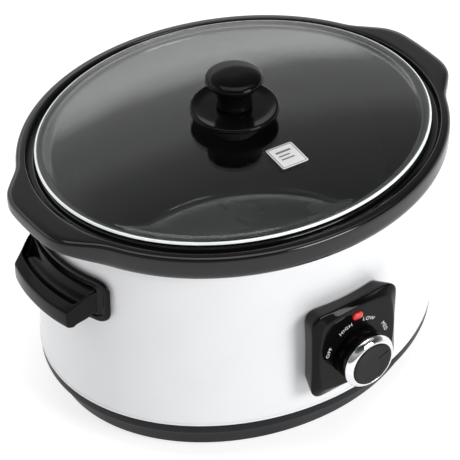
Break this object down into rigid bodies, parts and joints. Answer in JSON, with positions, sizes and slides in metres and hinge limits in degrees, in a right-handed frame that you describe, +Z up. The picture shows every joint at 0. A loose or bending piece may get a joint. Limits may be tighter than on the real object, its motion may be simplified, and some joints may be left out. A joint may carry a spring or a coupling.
{
  "type": "slow cooker",
  "caption": "Oval electric slow cooker with a white metal housing, black stoneware crock, glass lid, side handles and a front rotary heat control.",
  "frame": {"origin": "centre of the whole object's box, on the table under the feet", "axes": "+X along the long axis from the left handle to the right one, -Y out of the control panel, +Z up"},
  "size_m": [0.361, 0.3126, 0.246],
  "materials": {
    "band_strap": "zinc plated",
    "base_ring": "satin charcoal moulding",
    "bottom_plate": "zinc plated",
    "control_panel": "gloss black moulding",
    "cord_gland": "matt",
    "crock": "gloss black glaze",
    "foot_1": "matt",
    "foot_2": "matt",
    "foot_3": "matt",
    "foot_4": "matt",
    "foot_screw_1": "zinc plated",
    "foot_screw_2": "zinc plated",
    "foot_screw_3": "zinc plated",
    "foot_screw_4": "zinc plated",
    "fuse_lead": "glass-fibre sleeve",
    "handle_left": "gloss black moulding",
    "handle_right": "gloss black moulding",
    "handle_screw_left_back": "zinc plated",
    "handle_screw_left_front": "zinc plated",
    "handle_screw_right_back": "zinc plated",
    "handle_screw_right_front": "zinc plated",
    "heating_band": "wound mica element",
    "heating_well": "pressed, satin",
    "indicator_lens": "translucent red",
    "knob_body": "gloss black moulding",
    "knob_cap": "satin black moulding",
    "knob_ring": "polished",
    "lead_element": "cable insulation",
    "lead_supply": "glass-fibre sleeve",
    "lead_switch": "cable insulation",
    "lid_glass": "clear, polished",
    "lid_grip": "gloss black moulding",
    "lid_guard": "gloss black moulding",
    "lid_label": "printed film",
    "lid_screw": "zinc plated",
    "lid_seal": "translucent grey",
    "lid_washer": "satin black moulding",
    "neon_lamp": "clear, polished",
    "outer_shell": "gloss white paint",
    "panel_screw_lower": "zinc plated",
    "panel_screw_upper": "zinc plated",
    "rotary_switch": "moulded natural nylon",
    "switch_bracket": "zinc plated",
    "switch_screw_left": "zinc plated",
    "switch_screw_right": "zinc plated",
    "switch_shaft": "zinc plated",
    "terminal_block": "moulded natural nylon",
    "thermal_fuse": "zinc plated",
    "tie_bolt": "zinc plated",
    "tie_nut": "zinc plated",
    "tie_washer": "zinc plated"
  },
  "bodies": {
    "housing": {"band_strap": "band_strap", "base_ring": "base_ring", "bottom_plate": "bottom_plate", "control_panel": "control_panel", "cord_gland": "cord_gland", "foot_1": "foot_1", "foot_2": "foot_2", "foot_3": "foot_3", "foot_4": "foot_4", "foot_screw_1": "foot_screw_1", "foot_screw_2": "foot_screw_2", "foot_screw_3": "foot_screw_3", "foot_screw_4": "foot_screw_4", "fuse_lead": "fuse_lead", "handle_left": "handle_left", "handle_right": "handle_right", "handle_screw_left_back": "handle_screw_left_back", "handle_screw_left_front": "handle_screw_left_front", "handle_screw_right_back": "handle_screw_right_back", "handle_screw_right_front": "handle_screw_right_front", "heating_band": "heating_band", "heating_well": "heating_well", "indicator_lens": "indicator_lens", "lead_element": "lead_element", "lead_supply": "lead_supply", "lead_switch": "lead_switch", "neon_lamp": "neon_lamp", "outer_shell": "outer_shell", "panel_screw_lower": "panel_screw_lower", "panel_screw_upper": "panel_screw_upper", "rotary_switch": "rotary_switch", "switch_bracket": "switch_bracket", "switch_screw_left": "switch_screw_left", "switch_screw_right": "switch_screw_right", "terminal_block": "terminal_block", "thermal_fuse": "thermal_fuse", "tie_bolt": "tie_bolt", "tie_nut": "tie_nut", "tie_washer": "tie_washer"},
    "crock": {"crock": "crock"},
    "lid": {"lid_glass": "lid_glass", "lid_grip": "lid_grip", "lid_guard": "lid_guard", "lid_label": "lid_label", "lid_screw": "lid_screw", "lid_seal": "lid_seal", "lid_washer": "lid_washer"},
    "control_knob": {"knob_body": "knob_body", "knob_cap": "knob_cap", "knob_ring": "knob_ring", "switch_shaft": "switch_shaft"}
  },
  "joints": [
    {"name": "crock_lift", "type": "slide", "parent": "housing", "child": "crock", "axis": [0, 0, 1], "range_m": [0, 0.2]},
    {"name": "lid_lift", "type": "slide", "parent": "crock", "child": "lid", "axis": [0, 0, 1], "range_m": [0, 0.12]},
    {"name": "knob_turn", "type": "hinge", "parent": "housing", "child": "control_knob", "pos_m": [0, -0.1373, 0.0836], "axis": [0, -1, 0], "range_deg": [0, 135]}
  ]
}
